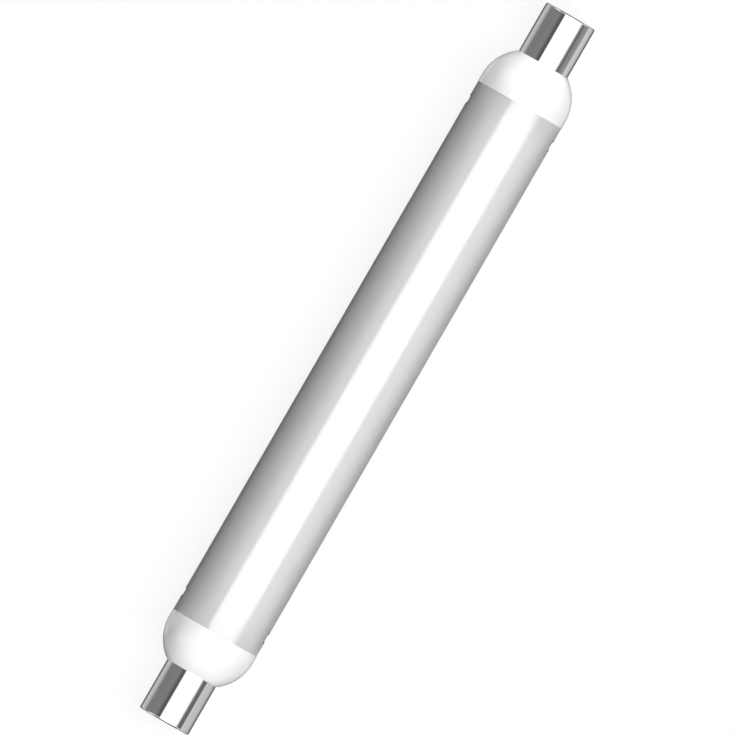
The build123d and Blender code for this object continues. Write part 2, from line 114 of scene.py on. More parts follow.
class DomeSettings(PropertyGroup):
    """Looks of the moulded end domes and their latch lugs."""

    colour: colour_setting("Dome colour", "White of the moulded end domes", (0.94, 0.94, 0.935))
    gloss: share_setting("Gloss", "Roughness of the moulded surface", 0.15)
    flow: length_setting("Flow marks", "Size of the soft waves that moulding leaves", 0.006)
    # The lug shade is a painted shade: the lugs are darker inside the windows, for the shadow in
    # the gaps
    lug_shade: share_setting("Lug shade", "Tone of the dust on each latch lug", 0.30)


class CapSettings(PropertyGroup):
    """Looks of the metal cap sleeves and of the solder."""

    colour: colour_setting("Cap colour", "Bright nickel of the cap sleeves", (0.64, 0.64, 0.645))
    polish: share_setting("Polish", "Roughness of the plating", 0.07)
    drawing: length_setting("Drawn lines", "Spacing of the lines that deep drawing leaves", 0.0003)
    wear: share_setting("Rim wear", "How much rougher the rubbed rims of the caps are", 0.08)
    solder: colour_setting("Solder colour", "Tin solder of the caps and joints", (0.66, 0.67, 0.68))


class LightBoardSettings(PropertyGroup):
    """Looks of the carrier, the light board and the chips on it."""

    carrier: colour_setting("Carrier", "Extruded aluminium of the carrier", (0.74, 0.75, 0.76))
    tape: colour_setting("Tape", "Thermal tape under the light board", (0.72, 0.74, 0.78))
    mask: colour_setting("White mask", "Solder mask of the light board", (0.86, 0.86, 0.84))
    frame: colour_setting("Chip frames", "White frames of the light chips", (0.90, 0.90, 0.88))
    phosphor: colour_setting("Phosphor", "Yellow of the phosphor in the frames", (0.92, 0.74, 0.16))
    film: colour_setting("Film", "Insulating film in the carrier", (0.78, 0.80, 0.82))
    thread: length_setting("Thread", "Spacing of the glass threads in tape and boards", 0.0004)


class DriverSettings(PropertyGroup):
    """Looks of the driver board, its components and the lead wires."""

    mask: colour_setting("Green mask", "Solder mask of the driver board", (0.05, 0.26, 0.13))
    moulding: colour_setting("Mouldings", "Black epoxy of the packages", (0.025, 0.025, 0.027))
    resistor: colour_setting("Resistor", "Lacquer of the fusible resistor", (0.16, 0.30, 0.27))
    box: colour_setting("Film capacitor", "Red of the film capacitor's box", (0.62, 0.078, 0.051))
    ferrite: colour_setting("Ferrite", "Sintered grey of the choke's drum", (0.06, 0.06, 0.065))
    copper: colour_setting("Copper", "Enamelled copper of the choke's winding", (0.72, 0.33, 0.16))
    turn: length_setting("Winding wire", "Thickness of the wire wound on the choke", 0.00022)
    can: colour_setting("Can", "Drawn aluminium of the capacitor's can", (0.70, 0.71, 0.72))
    rubber: colour_setting("Rubber", "Bung in the mouth of the can", (0.03, 0.03, 0.03))
    tin: colour_setting("Tin", "Tinned leads, pins and legs", (0.70, 0.70, 0.69))
    insulation: colour_setting("Insulation", "Silicone of the lead wires", (0.82, 0.82, 0.80))


class StudioSettings(PropertyGroup):
    """Floor, panels of light and camera."""

    floor: share_setting("Floor", "Tone of the paper that the lamp lies on", 0.97)
    bounce: share_setting("Bounce", "How much light the paper throws back onto the lamp", 0.09)
    floor_lift: share_setting("Floor lift", "Share of plain white in the paper as it is seen", 0.88)
    ambient: light_setting("Ambient", "Soft light from outside the panels", 0.05)
    key: light_setting("Key", "Brightness of the long soft box", 9.8)
    fill: light_setting("Fill", "Brightness of the card that fills the right side", 0.12)
    right_fill: light_setting("Right fill", "Brightness of the card past the right end", 20.0)
    left_fill: light_setting("Left fill", "Brightness of the card past the left end", 9.0)
    soft_box: light_setting("Soft box", "Brightness of the soft box in reflections", 3.5)
    key_length: length_setting("Key length", "Length of the soft box along the lamp", 0.66)
    tent: length_setting("Tent radius", "Distance of the panels from the lamp", 1.5)
    tube_tent: length_setting("Tube's tent", "Distance of the cards that the tube shows", 0.22)
    # The flags and the dome, tube and cap lines set dark cards under the lamp: a painted shade for
    # the shadow under it, as reflections show it
    flag: length_setting("Flag", "Half the width of the dark card under the ends", 0.0175)
    tube_flag: length_setting("Tube's flag", "Half the width of the dark card under it", 0.021)
    dome_line: share_setting("Dome line", "Tone of the card that draws the domes' edges", 0.15)
    rim_line: share_setting("Rim line", "Tone of the cards that draw the caps' rims", 0.08)
    tube_line: share_setting("Tube line", "Tone of the card that draws the tube's edges", 0.02)
    cap_line: share_setting("Cap line", "Tone of the card that draws the caps' edges", 0.30)
    lens: FloatProperty(
        name="Lens", description="Focal length, long enough to look square on",
        default=1000.0, min=1.0, subtype="DISTANCE_CAMERA",
    )
    turn: angle_setting("Turn", "Angle of the lamp from upright in the picture", 30.0)


# Node trees

class Tree:
    """A node tree that is filled in node by node; a socket given as a value is linked."""

    def __init__(self, tree):
        self.tree = tree

    def link(self, source, target):
        """Feed an output socket to an input socket."""
        self.tree.links.new(source, target)

    def add(self, kind, sockets=None, **settings):
        """A new node with its settings, and its input sockets set or linked."""
        node = self.tree.nodes.new(kind)
        for name, value in settings.items():
            setattr(node, name, value)
        for name, value in (sockets or {}).items():
            if isinstance(value, NodeSocket):
                self.link(value, node.inputs[name])
            else:
                node.inputs[name].default_value = value
        return node

    def math(self, operation, first, second=0.0):
        """The result of one step of arithmetic."""
        node = self.add("ShaderNodeMath", {0: first, 1: second}, operation=operation)
        return node.outputs[0]

    def remap(self, value, to_low, to_high, from_low=0.0, from_high=1.0, kind="LINEAR"):
        """The value moved from one range to another, and held inside it."""
        node = self.add("ShaderNodeMapRange", {
            "Value": value, "From Min": from_low, "From Max": from_high,
            "To Min": to_low, "To Max": to_high,
        }, interpolation_type=kind)
        return node.outputs["Result"]

    def between(self, share, low, high):
        """A value that goes from low to high as the share goes from nothing to one."""
        spread = self.math("SUBTRACT", high, low)
        return self.math("ADD", low, self.math("MULTIPLY", share, spread))

    def position(self):
        """The place of a point of the surface in the lamp's frame, in metres."""
        return self.add("ShaderNodeTexCoord").outputs["Object"]

    def place(self):
        """X, Y and Z of that place."""
        return self.add("ShaderNodeSeparateXYZ", {"Vector": self.position()}).outputs

    def relief(self, height, depth):
        """The normal of a surface whose height goes from nothing to the depth."""
        return self.add("ShaderNodeBump", {
            "Strength": 1.0, "Distance": depth, "Height": height,
        }).outputs["Normal"]

    def effect(self, name, **sockets):
        """One of the shared effects, placed in this tree with its own values."""
        return self.add("ShaderNodeGroup", sockets, node_tree=effect_group(name)).outputs

    def dress(self, shader, colour, roughness, normal):
        """Feed the colour, the roughness and the normal of a shader."""
        self.link(colour, shader.inputs["Base Color"])
        self.link(roughness, shader.inputs["Roughness"])
        self.link(normal, shader.inputs["Normal"])


def new_group(name, inputs, outputs):
    """A shader node group; returns it, its tree, what it is given and the node at its end."""
    group = bpy.data.node_groups.new(name, "ShaderNodeTree")
    for socket, default in inputs.items():
        kind = "NodeSocketColor" if isinstance(default, tuple) else "NodeSocketFloat"
        made = group.interface.new_socket(socket, in_out="INPUT", socket_type=kind)
        made.default_value = default
    for socket, kind in outputs.items():
        group.interface.new_socket(socket, in_out="OUTPUT", socket_type=kind)
    tree = Tree(group)
    return group, tree, tree.add("NodeGroupInput").outputs, tree.add("NodeGroupOutput")


def tone_drift_group():
    """Colour that drifts a little lighter and darker over the surface."""
    group, tree, given, end = new_group(
        "Tone drift",
        {"Colour": (0.8, 0.8, 0.8, 1.0), "Size": 0.01, "Amount": 0.05},
        {"Colour": "NodeSocketColor"},
    )
    patches = tree.add("ShaderNodeTexNoise", {
        "Vector": tree.position(), "Scale": tree.math("DIVIDE", 1.0, given["Size"]),
        "Detail": 3.0, "Roughness": 0.55,
    })
    swing = tree.math("SUBTRACT", patches.outputs["Fac"], 0.5)
    swing = tree.math("MULTIPLY", swing, given["Amount"])
    drift = tree.add("ShaderNodeHueSaturation", {
        "Value": tree.math("ADD", swing, 1.0), "Color": given["Colour"],
    })
    tree.link(drift.outputs["Color"], end.inputs["Colour"])
    return group


def grain_group():
    """Fine even grain as a normal, and a value that wanders between two limits with it."""
    group, tree, given, end = new_group(
        "Fine grain",
        {"Size": 0.0005, "Depth": 0.000005, "Low": 0.2, "High": 0.3},
        {"Normal": "NodeSocketVector", "Value": "NodeSocketFloat"},
    )
    grains = tree.add("ShaderNodeTexNoise", {
        "Vector": tree.position(), "Scale": tree.math("DIVIDE", 1.0, given["Size"]),
        "Detail": 2.0, "Roughness": 0.6,
    })
    height = grains.outputs["Fac"]
    tree.link(tree.relief(height, given["Depth"]), end.inputs["Normal"])
    tree.link(tree.between(height, given["Low"], given["High"]), end.inputs["Value"])
    return group


def draw_lines_group():
    """Fine lines along or round the lamp, as extruding, drawing or winding leaves them."""
    group, tree, given, end = new_group(
        "Draw lines",
        {"Along": 0.05, "Across": 0.0003, "Depth": 0.000002, "Low": 0.05, "High": 0.1},
        {"Normal": "NodeSocketVector", "Value": "NodeSocketFloat"},
    )
    place = tree.place()
    stretched = tree.add("ShaderNodeCombineXYZ", {
        "X": tree.math("DIVIDE", place["X"], given["Along"]),
        "Y": tree.math("DIVIDE", place["Y"], given["Across"]),
        "Z": tree.math("DIVIDE", place["Z"], given["Across"]),
    })
    lines = tree.add("ShaderNodeTexNoise", {
        "Vector": stretched.outputs["Vector"], "Scale": 1.0, "Detail": 2.0, "Roughness": 0.5,
    })
    height = lines.outputs["Fac"]
    tree.link(tree.relief(height, given["Depth"]), end.inputs["Normal"])
    tree.link(tree.between(height, given["Low"], given["High"]), end.inputs["Value"])
    return group


def weave_group():
    """Crossed glass threads under a thin coat: a faint relief and a tone that follows it."""
    group, tree, given, end = new_group(
        "Glass weave",
        {"Colour": (0.8, 0.8, 0.8, 1.0), "Spacing": 0.0004, "Depth": 0.00001, "Amount": 0.05},
        {"Colour": "NodeSocketColor", "Normal": "NodeSocketVector"},
    )
    place = tree.place()
    step = tree.math("DIVIDE", math.pi, given["Spacing"])
    along = tree.math("SINE", tree.math("MULTIPLY", place["X"], step))
    across = tree.math("SINE", tree.math("MULTIPLY", place["Y"], step))
    threads = tree.math("MULTIPLY", along, across)
    value = tree.math("ADD", tree.math("MULTIPLY", threads, given["Amount"]), 1.0)
    tone = tree.add("ShaderNodeHueSaturation", {"Value": value, "Color": given["Colour"]})
    tree.link(tone.outputs["Color"], end.inputs["Colour"])
    tree.link(tree.relief(threads, given["Depth"]), end.inputs["Normal"])
    return group


def beyond_mask_group():
    """A mask that is one further than a distance from a middle, on either side of it."""
    group, tree, given, end = new_group(
        "Beyond", {"Place": 0.0, "Middle": 0.0, "Distance": 0.001}, {"Mask": "NodeSocketFloat"},
    )
    away = tree.math("ABSOLUTE", tree.math("SUBTRACT", given["Place"], given["Middle"]))
    mask = tree.math("GREATER_THAN", away, given["Distance"])
    tree.link(mask, end.inputs["Mask"])
    return group


# The latch windows: their middle along the lamp, their size, and how far the painted shade round
# them reaches
WINDOW_PLACE = 0.07715
WINDOW_LENGTH = 0.0023
WINDOW_WIDTH = 0.005
LATCH_SHADE_REACH = 0.0009


def latch_gap_distance(tree):
    """How far a point of the tube or a lug is from the nearest latch window's edge."""
    place = tree.place()
    along = tree.math("SUBTRACT", tree.math("ABSOLUTE", place["X"]), WINDOW_PLACE)
    past_end = tree.math("SUBTRACT", tree.math("ABSOLUTE", along), WINDOW_LENGTH / 2)
    past_side = tree.math("SUBTRACT", tree.math("ABSOLUTE", place["Z"]), WINDOW_WIDTH / 2)
    return tree.math("MAXIMUM", past_end, past_side)


def latch_shade_group():
    """Painted shade in the latches: the colour goes darker up to a window's edge, and stays so
    inside, for the shadow in the gaps.
    """
    group, tree, given, end = new_group(
        "Latch dust",
        {"Colour": (0.8, 0.8, 0.8, 1.0), "Shade": 0.5, "Reach": 0.001},
        {"Colour": "NodeSocketColor"},
    )
    shade = tree.remap(latch_gap_distance(tree), given["Shade"], 1.0, 0.0, given["Reach"])
    latch_shaded = tree.add("ShaderNodeHueSaturation", {"Value": shade, "Color": given["Colour"]})
    tree.link(latch_shaded.outputs["Color"], end.inputs["Colour"])
    return group


EFFECT_MAKERS = {
    "Tone drift": tone_drift_group,
    "Fine grain": grain_group,
    "Draw lines": draw_lines_group,
    "Glass weave": weave_group,
    "Beyond": beyond_mask_group,
    "Latch dust": latch_shade_group,
}


def effect_group(name):
    """The node group of an effect, made when it is first used."""
    return bpy.data.node_groups.get(name) or EFFECT_MAKERS[name]()


def rgba(colour):
    """A colour as a shader socket takes it."""
    return (*colour, 1.0)


def new_material(name, **shader_values):
    """A material with one Principled shader; plain values go straight onto its sockets."""
    material = bpy.data.materials.new(name)
    material.use_nodes = True
    tree = Tree(material.node_tree)
    shader = material.node_tree.nodes["Principled BSDF"]
    for socket, value in shader_values.items():
        shader.inputs[socket.replace("_", " ")].default_value = value
    return material, tree, shader


def finish_node(node, material):
    """Gives a node of the lamp its finish, in place of the plain one that it came with."""
    piece = NODES[node]
    piece.data.materials.clear()
    piece.data.materials.append(material)


def mottled(name, colour, size, amount, grain, depth, low, high, dust=None, **shader_values):
    """A finish with drifting tone and fine grain, which most of the small parts share."""
    material, tree, shader = new_material(name, **shader_values)
    tone = tree.effect("Tone drift", Colour=rgba(colour), Size=size, Amount=amount)
    # Painted shade at the latch windows, for the shadow in their gaps
    if dust is not None:
        tone = tree.effect("Latch dust", Colour=tone["Colour"], Shade=dust, Reach=LATCH_SHADE_REACH)
    fine = tree.effect("Fine grain", Size=grain, Depth=depth, Low=low, High=high)
    tree.dress(shader, tone["Colour"], fine["Value"], fine["Normal"])
    return material


def lined(name, colour, along, across, depth, low, high, **shader_values):
    """A finish with fine lines, along the lamp or round it."""
    material, tree, shader = new_material(name, **shader_values)
    drift = tree.effect("Tone drift", Colour=rgba(colour), Size=0.004, Amount=0.06)
    lines = tree.effect("Draw lines", Along=along, Across=across, Depth=depth, Low=low, High=high)
    tree.dress(shader, drift["Colour"], lines["Value"], lines["Normal"])
    return material


def woven(name, colour, spacing, depth, roughness, colour_source=None, **shader_values):
    """A finish with glass threads that show faintly through it."""
    material, tree, shader = new_material(name, Roughness=roughness, **shader_values)
    base = colour_source(tree) if colour_source else rgba(colour)
    drift = tree.effect("Tone drift", Colour=base, Size=0.006, Amount=0.08)
    weave = tree.effect(
        "Glass weave", Colour=drift["Colour"], Spacing=spacing, Depth=depth, Amount=0.04,
    )
    tree.link(weave["Colour"], shader.inputs["Base Color"])
    tree.link(weave["Normal"], shader.inputs["Normal"])
    return material


# Where a Mix node keeps its two colours and its result among its sockets
MIX_FIRST, MIX_SECOND, MIX_RESULT = 6, 7, 2


def part_tinned(name, colour, tin, tinned_place, low, high):
    """A dull body whose legs, ends or bare stretches are tinned metal.

    tinned_place is an axis, a middle and a distance: what lies further than the distance from
    the middle along that axis is bare metal, on both sides of the lamp alike.
    """
    material, tree, shader = new_material(name)
    axis, middle, distance = tinned_place
    metal = tree.effect(
        "Beyond", Place=tree.math("ABSOLUTE", tree.place()[axis]), Middle=middle,
        Distance=distance,
    )["Mask"]
    mixed = tree.add("ShaderNodeMix", {
        "Factor": metal, MIX_FIRST: rgba(colour), MIX_SECOND: rgba(tin),
    }, data_type="RGBA")
    drift = tree.effect(
        "Tone drift", Colour=mixed.outputs[MIX_RESULT], Size=0.001, Amount=0.12,
    )
    fine = tree.effect("Fine grain", Size=0.0002, Depth=0.000003, Low=low, High=high)
    tree.dress(shader, drift["Colour"], fine["Value"], fine["Normal"])
    tree.link(metal, shader.inputs["Metallic"])
    return material


# Operators, one for each piece or group of like pieces

# The tube's skin fades out between these, from a surface seen square on to one seen edge on
SKIN_FADE = (0.2, 0.6)
# How far the roughness of the tube and the domes goes either way
ROUGHNESS_SWING = 0.03


class LAMP_OT_tube(Operator):
    """Give the frosted tube its satin body, its polished skin and a painted shade round its latches
    """

    bl_idname = "lamp.tube"
    bl_label = "Frosted tube"

    def execute(self, context):
        look = context.scene.lamp_tube
        # The skin carries the gloss, so the satin body under it reflects next to nothing
        material, tree, shader = new_material(
            "frosted_tube_finish", Specular_IOR_Level=0.1, Coat_IOR=1.9, Coat_Roughness=look.skin,
        )
        facing = tree.add("ShaderNodeLayerWeight", {"Blend": 0.5}).outputs["Facing"]
        skin = tree.remap(facing, 1.0, 0.0, *SKIN_FADE)
        tree.link(skin, shader.inputs["Coat Weight"])
        drift = tree.effect("Tone drift", Colour=rgba(look.colour), Size=0.03, Amount=0.02)
        # Painted shade round the latch windows, for the shadow in their gaps
        latch_shaded = tree.effect(
            "Latch dust", Colour=drift["Colour"], Shade=look.gap_shade, Reach=LATCH_SHADE_REACH,
        )
        lines = tree.effect(
            "Draw lines", Along=0.08, Across=look.line, Depth=look.relief,
            Low=look.satin - ROUGHNESS_SWING, High=look.satin + ROUGHNESS_SWING,
        )
        tree.dress(shader, latch_shaded["Colour"], lines["Value"], lines["Normal"])
        finish_node("diffuser_tube", material)
        return {"FINISHED"}


class LAMP_OT_domes(Operator):
    """Give the two end domes their glossy moulded plastic"""

    bl_idname = "lamp.domes"
    bl_label = "End domes"

    def execute(self, context):
        look = context.scene.lamp_domes
        # The latch lugs get a painted shade inside their windows, for the shadow in the gaps
        material = mottled(
            "dome_plastic_finish", look.colour, size=look.flow, amount=0.015,
            grain=look.flow, depth=0.000004, low=look.gloss - ROUGHNESS_SWING,
            high=look.gloss + ROUGHNESS_SWING, dust=look.lug_shade,
        )
        for side in ("left", "right"):
            finish_node(f"end_dome_{side}", material)
        return {"FINISHED"}


# How far the rubbed rim of a cap reaches back from its end
RIM_WEAR = 0.0006
# How far the roughness of the plating goes either way
POLISH_SWING = 0.02


class LAMP_OT_caps(Operator):
    """Give the drawn metal caps their plating, with rubbed rims, and finish their solder"""

    bl_idname = "lamp.caps"
    bl_label = "Metal caps"

    def execute(self, context):
        look = context.scene.lamp_caps
        # The grey tint keeps the plating from turning white where it is seen edge on
        material, tree, shader = new_material(
            "cap_metal_finish", Metallic=1.0, Specular_Tint=(0.5, 0.5, 0.5, 1.0),
        )
        drift = tree.effect("Tone drift", Colour=rgba(look.colour), Size=0.003, Amount=0.03)
        lines = tree.effect(
            "Draw lines", Along=0.02, Across=look.drawing, Depth=0.0000004,
            Low=look.polish - POLISH_SWING, High=look.polish + POLISH_SWING,
        )
        end = CAD_BOX[1].x
        from_middle = tree.math("ABSOLUTE", tree.place()["X"])
        worn = tree.remap(from_middle, 0.0, look.wear, end - RIM_WEAR, end)
        rubbed = tree.math("ADD", lines["Value"], worn)
        tree.dress(shader, drift["Colour"], rubbed, lines["Normal"])
        solder = mottled(
            "solder_finish", look.solder, size=0.001, amount=0.12, grain=0.0006,
            depth=0.00002, low=0.22, high=0.42, Metallic=1.0,
        )
        for side in ("left", "right"):
            finish_node(f"cap_shell_{side}", material)
            finish_node(f"cap_solder_{side}", solder)
        for node in ("board_solder", "lead_solder"):
            finish_node(node, solder)
        return {"FINISHED"}


class LAMP_OT_light_board(Operator):
    """Finish the carrier, the tape, the light board with its chips and the film in the carrier"""

    bl_idname = "lamp.light_board"
    bl_label = "Carrier and light board"

    def execute(self, context):
        look = context.scene.lamp_light_board
        finish_node("heat_sink", lined(
            "carrier_aluminium_finish", look.carrier, along=0.05, across=0.00025,
            depth=0.000003, low=0.28, high=0.46, Metallic=1.0,
        ))
        finish_node("thermal_tape", woven(
            "tape_finish", look.tape, look.thread, depth=0.00003, roughness=0.85,
        ))
        finish_node("led_board", woven(
            "white_board_finish", look.mask, look.thread, depth=0.000004, roughness=0.34,
        ))
        finish_node("led_bodies", mottled(
            "led_frame_finish", look.frame, size=0.001, amount=0.05, grain=0.0002,
            depth=0.000002, low=0.24, high=0.34,
        ))
        finish_node("led_phosphors", mottled(
            "phosphor_finish", look.phosphor, size=0.00012, amount=0.55, grain=0.00012,
            depth=0.000006, low=0.22, high=0.5,
        ))
        finish_node("insulating_liner", lined(
            "film_finish", look.film, along=0.03, across=0.002, depth=0.000002, low=0.12, high=0.2,
        ))
        return {"FINISHED"}


def copper_tracks(tree, mask_colour):
    """The green mask is paler over the copper fields and darker in the gaps between them."""
    shades = {"Color1": 1.25, "Color2": 1.05, "Mortar": 0.6}
    fields = tree.add("ShaderNodeTexBrick", {
        "Vector": tree.position(), "Scale": 1.0, "Mortar Size": 0.00035, "Mortar Smooth": 0.2,
        "Brick Width": 0.0062, "Row Height": 0.0024,
        **{name: rgba([shade * value for value in mask_colour]) for name, shade in shades.items()},
    }, offset=0.37, squash=1.6, squash_frequency=3)
    return fields.outputs["Color"]


# Rings painted on the resistor: a colour, and where it starts and stops as shares of the body
RESISTOR_RINGS = (
    ((0.16, 0.05, 0.02), 0.20, 0.29),
    ((0.02, 0.02, 0.02), 0.37, 0.46),
    ((0.02, 0.02, 0.02), 0.54, 0.63),
    ((0.62, 0.44, 0.10), 0.71, 0.80),
)


def banded_lacquer(name, colour, node, bands):
    """Lacquer with painted rings along the body of a node."""
    low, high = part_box(node)
    material, tree, shader = new_material(name, Coat_Weight=0.4, Coat_Roughness=0.25)
    share = tree.remap(tree.place()["X"], 0.0, 1.0, low.x, high.x)
    ramp = tree.add("ShaderNodeValToRGB", {"Fac": share})
    ramp.color_ramp.interpolation = "CONSTANT"
    ramp.color_ramp.elements[0].color = rgba(colour)
    ramp.color_ramp.elements.remove(ramp.color_ramp.elements[1])
    for paint, start, stop in bands:
        ramp.color_ramp.elements.new(start).color = rgba(paint)
        ramp.color_ramp.elements.new(stop).color = rgba(colour)
    drift = tree.effect("Tone drift", Colour=ramp.outputs["Color"], Size=0.0012, Amount=0.15)
    fine = tree.effect("Fine grain", Size=0.0004, Depth=0.00002, Low=0.45, High=0.65)
    tree.dress(shader, drift["Colour"], fine["Value"], fine["Normal"])
    return material


def wound_turns(name, colour, thickness):
    """Enamelled wire wound in level turns, as rounded ridges across the winding's axis."""
    material, tree, shader = new_material(name, Metallic=1.0, Coat_Weight=0.6, Coat_Roughness=0.15)
    phase = tree.math("MULTIPLY", tree.place()["Z"], math.pi / thickness)
    ridge = tree.math("SQRT", tree.math("ABSOLUTE", tree.math("SINE", phase)))
    # Painted shade: the copper goes darker in the grooves between the turns
    groove_shade = tree.remap(ridge, 0.35, 1.0)
    groove_roughness = tree.remap(ridge, 0.5, 0.24)
    drift = tree.effect("Tone drift", Colour=rgba(colour), Size=0.0015, Amount=0.2)
    grooved = tree.add("ShaderNodeHueSaturation", {
        "Value": groove_shade, "Color": drift["Colour"],
    }).outputs["Color"]
    tree.dress(shader, grooved, groove_roughness, tree.relief(ridge, thickness / 2))
    return material


def along_and_across(node):
    """Middle and half size of a node along X, and half its size along Y."""
    low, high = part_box(node)
    return (low.x + high.x) / 2, (high.x - low.x) / 2, (high.y - low.y) / 2


# How far the legs reach out of a package, a chip resistor's length and how much of each end is
# tinned, and how much of a lead wire is stripped
LEG_REACH = 0.0011
RESISTOR_LENGTH = 0.0032
RESISTOR_END = 0.0003
BARE_WIRE_END = 0.003
# Glazed top of the chip resistors
CERAMIC = (0.05, 0.05, 0.055)


class LAMP_OT_driver(Operator):
    """Finish the driver board, every component on it, and the wires from the caps"""

    bl_idname = "lamp.driver"
    bl_label = "Driver board and wires"

    def execute(self, context):
        look = context.scene.lamp_driver
        finish_node("driver_board", woven(
            "green_board_finish", look.mask, context.scene.lamp_light_board.thread,
            depth=0.000004, roughness=0.36,
            colour_source=lambda tree: copper_tracks(tree, look.mask),
        ))
        finish_node("fuse_resistor", banded_lacquer(
            "resistor_coat_finish", look.resistor, "fuse_resistor", RESISTOR_RINGS,
        ))
        finish_node("choke_winding", wound_turns("copper_wire_finish", look.copper, look.turn))
        finish_node("capacitor_can", lined(
            "can_aluminium_finish", look.can, along=0.02, across=0.0002, depth=0.000001,
            low=0.2, high=0.32, Metallic=1.0,
        ))
        mouldings = (
            ("film_capacitor", "film_box_finish", look.box, 0.0004, 0.06, 0.16, 0.26),
            ("choke_core", "ferrite_finish", look.ferrite, 0.0003, 0.35, 0.55, 0.8),
            ("capacitor_bung", "bung_rubber_finish", look.rubber, 0.0003, 0.25, 0.7, 0.85),
            ("link_header", "header_plastic_finish", look.moulding, 0.0002, 0.15, 0.42, 0.58),
        )
        for node, name, colour, grain, amount, low, high in mouldings:
            finish_node(node, mottled(
                name, colour, size=0.002, amount=amount, grain=grain, depth=0.000006,
                low=low, high=high,
            ))
        tinned = mottled(
            "tinned_wire_finish", look.tin, size=0.0006, amount=0.15, grain=0.0003,
            depth=0.000004, low=0.22, high=0.4, Metallic=1.0,
        )
        for node in ("link_pins", "component_leads"):
            finish_node(node, tinned)
        for node in ("bridge_rectifier", "driver_chip"):
            half_width = along_and_across(node)[2]
            finish_node(node, part_tinned(
                f"{node}_finish", look.moulding, look.tin, ("Y", 0.0, half_width - LEG_REACH),
                low=0.4, high=0.55,
            ))
        outer, half_chip = along_and_across("chip_resistors")[2], RESISTOR_LENGTH / 2
        finish_node("chip_resistors", part_tinned(
            "chip_ceramic_finish", CERAMIC, look.tin,
            ("Y", outer - half_chip, half_chip - RESISTOR_END), low=0.3, high=0.45,
        ))
        for side in ("left", "right"):
            middle, half_length, _ = along_and_across(f"lead_wire_{side}")
            finish_node(f"lead_wire_{side}", part_tinned(
                f"wire_insulation_finish_{side}", look.insulation, look.tin,
                ("X", abs(middle), half_length - BARE_WIRE_END), low=0.35, high=0.5,
            ))
        return {"FINISHED"}


# Studio

WHITE = (1.0, 1.0, 1.0, 1.0)
# Rows of a sheet between two places of its profile
SHEET_STEPS = 12
# How far the cards on the floor lie over it
CARD_LIFT = 0.0001


def eased(profile):
    """Places and tones along a profile, where each tone turns smoothly into the next."""
    rows = [profile[0]]
    for (start, start_tone), (stop, stop_tone) in zip(profile, profile[1:]):
        for step in range(1, SHEET_STEPS + 1):
            share = step / SHEET_STEPS
            smooth = share * share * (3 - 2 * share)
            rows.append((
                start + share * (stop - start),
                start_tone + smooth * (stop_tone - start_tone),
            ))
    return rows


def toned_sheet(name, rows):
    """A sheet over rows of two points and a tone."""
    mesh = bpy.data.meshes.new(name)
    mesh.from_pydata(
        [point for first, second, _ in rows for point in (first, second)], [],
        [(2 * row, 2 * row + 1, 2 * row + 3, 2 * row + 2) for row in range(len(rows) - 1)],
    )
    tones = mesh.attributes.new("tone", "FLOAT", "POINT")
    tones.data.foreach_set("value", [tone for _, _, tone in rows for _ in range(2)])
    return mesh


def round_sheet(name, profile, radius, low_x, high_x):
    """A sheet curved round the X axis; its places are degrees from straight up towards -Y."""
    rows = []
    for degrees, tone in eased(profile):
        y = -radius * math.sin(math.radians(degrees))
        z = radius * math.cos(math.radians(degrees))
        rows.append(((low_x, y, z), (high_x, y, z), tone))
    return toned_sheet(name, rows)


def floor_sheet(name, profile, low_x, high_x):
    """A flat sheet just over the floor; its places are distances along Y."""
    height = FLOOR_HEIGHT + CARD_LIFT
    return toned_sheet(name, [
        ((low_x, y, height), (high_x, y, height), tone) for y, tone in eased(profile)
    ])


def upright_sheet(name, profile, x, low_y, high_y):
    """An upright sheet past one end of the lamp; its places are heights."""
    return toned_sheet(name, [
        ((x, low_y, z), (x, high_y, z), tone) for z, tone in eased(profile)
    ])


def empty_material(name):
    """A material without a shader; returns it, its tree and the socket for its surface."""
    material = bpy.data.materials.new(name)
    material.use_nodes = True
    nodes = material.node_tree.nodes
    nodes.remove(nodes["Principled BSDF"])
    return material, Tree(material.node_tree), nodes["Material Output"].inputs["Surface"]


def glow_material(name, brightest):
    """The light of a sheet, as bright as its rows' tones; dim ones aren't sampled as lamps."""
    material, tree, surface = empty_material(name)
    if brightest < 1.0:
        material.cycles.emission_sampling = "NONE"
    tone = tree.add("ShaderNodeAttribute", attribute_name="tone", attribute_type="GEOMETRY")
    glow = tree.add("ShaderNodeEmission", {"Color": WHITE, "Strength": tone.outputs["Fac"]})
    tree.link(glow.outputs[0], surface)
    return material


def stage_object(mesh, material, seen=True):
    """A piece of the studio, which is no part of the lamp."""
    mesh.materials.append(material)
    piece = bpy.data.objects.new(mesh.name, mesh)
    bpy.context.scene.collection.objects.link(piece)
    piece.visible_camera = seen
    return piece


def glowing(mesh):
    """A sheet that glows by its tones and that the camera doesn't see."""
    brightest = max(point.value for point in mesh.attributes["tone"].data)
    return stage_object(mesh, glow_material(mesh.name, brightest), False)


def light_panel(mesh):
    """A panel that only lights dull surfaces, and that no reflection shows."""
    glowing(mesh).visible_glossy = False


def mirror_card(mesh):
    """A card that only reflections show, and that throws neither light nor shadow."""
    card = glowing(mesh)
    card.visible_diffuse = card.visible_shadow = False


def background_ray(tree):
    """One where the camera, a reflection or a clear piece looks at the background."""
    path = tree.add("ShaderNodeLightPath").outputs
    indirect = tree.math("MAXIMUM", path["Is Glossy Ray"], path["Is Transmission Ray"])
    return tree.math("MAXIMUM", path["Is Camera Ray"], indirect)


# Half the side of the paper. It shows its own shading up to the first distance of the pair, and
# is plain white from the second
FLOOR_REACH = 10.0
LIT_FLOOR = (0.2, 0.7)


